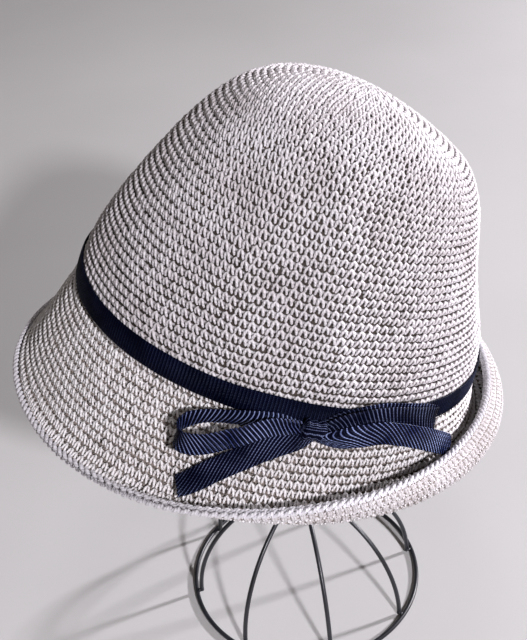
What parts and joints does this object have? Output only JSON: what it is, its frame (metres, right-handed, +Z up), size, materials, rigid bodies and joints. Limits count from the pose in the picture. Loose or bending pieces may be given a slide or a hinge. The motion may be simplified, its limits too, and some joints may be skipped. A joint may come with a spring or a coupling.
{
  "type": "cloche hat on wire stand",
  "caption": "Crocheted cloche hat with a narrow grosgrain ribbon and a side bow, its brim turned up behind, resting on a domed black wire hat stand.",
  "frame": {"origin": "on the floor, under the middle of the whole part's bounding box", "axes": "+Z up; the hat's front faces -Y and the wearer's left, with the bow, faces +X"},
  "size_m": [0.2408, 0.2314, 0.2967],
  "materials": {
    "crochet_yarn": "matte ecru paper yarn in single crochet",
    "grosgrain": "ribbed navy ribbon with a soft sheen",
    "black_wire": "satin black paint on steel wire"
  },
  "bodies": {
    "root": {"crochet_shell": "crochet_yarn", "ribbon_band": "grosgrain", "bow_knot": "grosgrain", "bow_loop_front": "grosgrain", "bow_loop_back": "grosgrain", "bow_tail_front": "grosgrain", "bow_tail_back": "grosgrain", "base_ring": "black_wire", "base_rib_1": "black_wire", "base_rib_2": "black_wire", "base_rib_3": "black_wire", "base_rib_4": "black_wire", "base_rib_5": "black_wire", "base_rib_6": "black_wire", "base_rib_7": "black_wire", "base_rib_8": "black_wire", "head_ring": "black_wire", "head_rib_1": "black_wire", "head_rib_2": "black_wire", "head_rib_3": "black_wire", "head_rib_4": "black_wire", "head_rib_5": "black_wire", "head_rib_6": "black_wire", "head_rib_7": "black_wire", "head_rib_8": "black_wire", "post": "black_wire"}
  },
  "joints": []
}
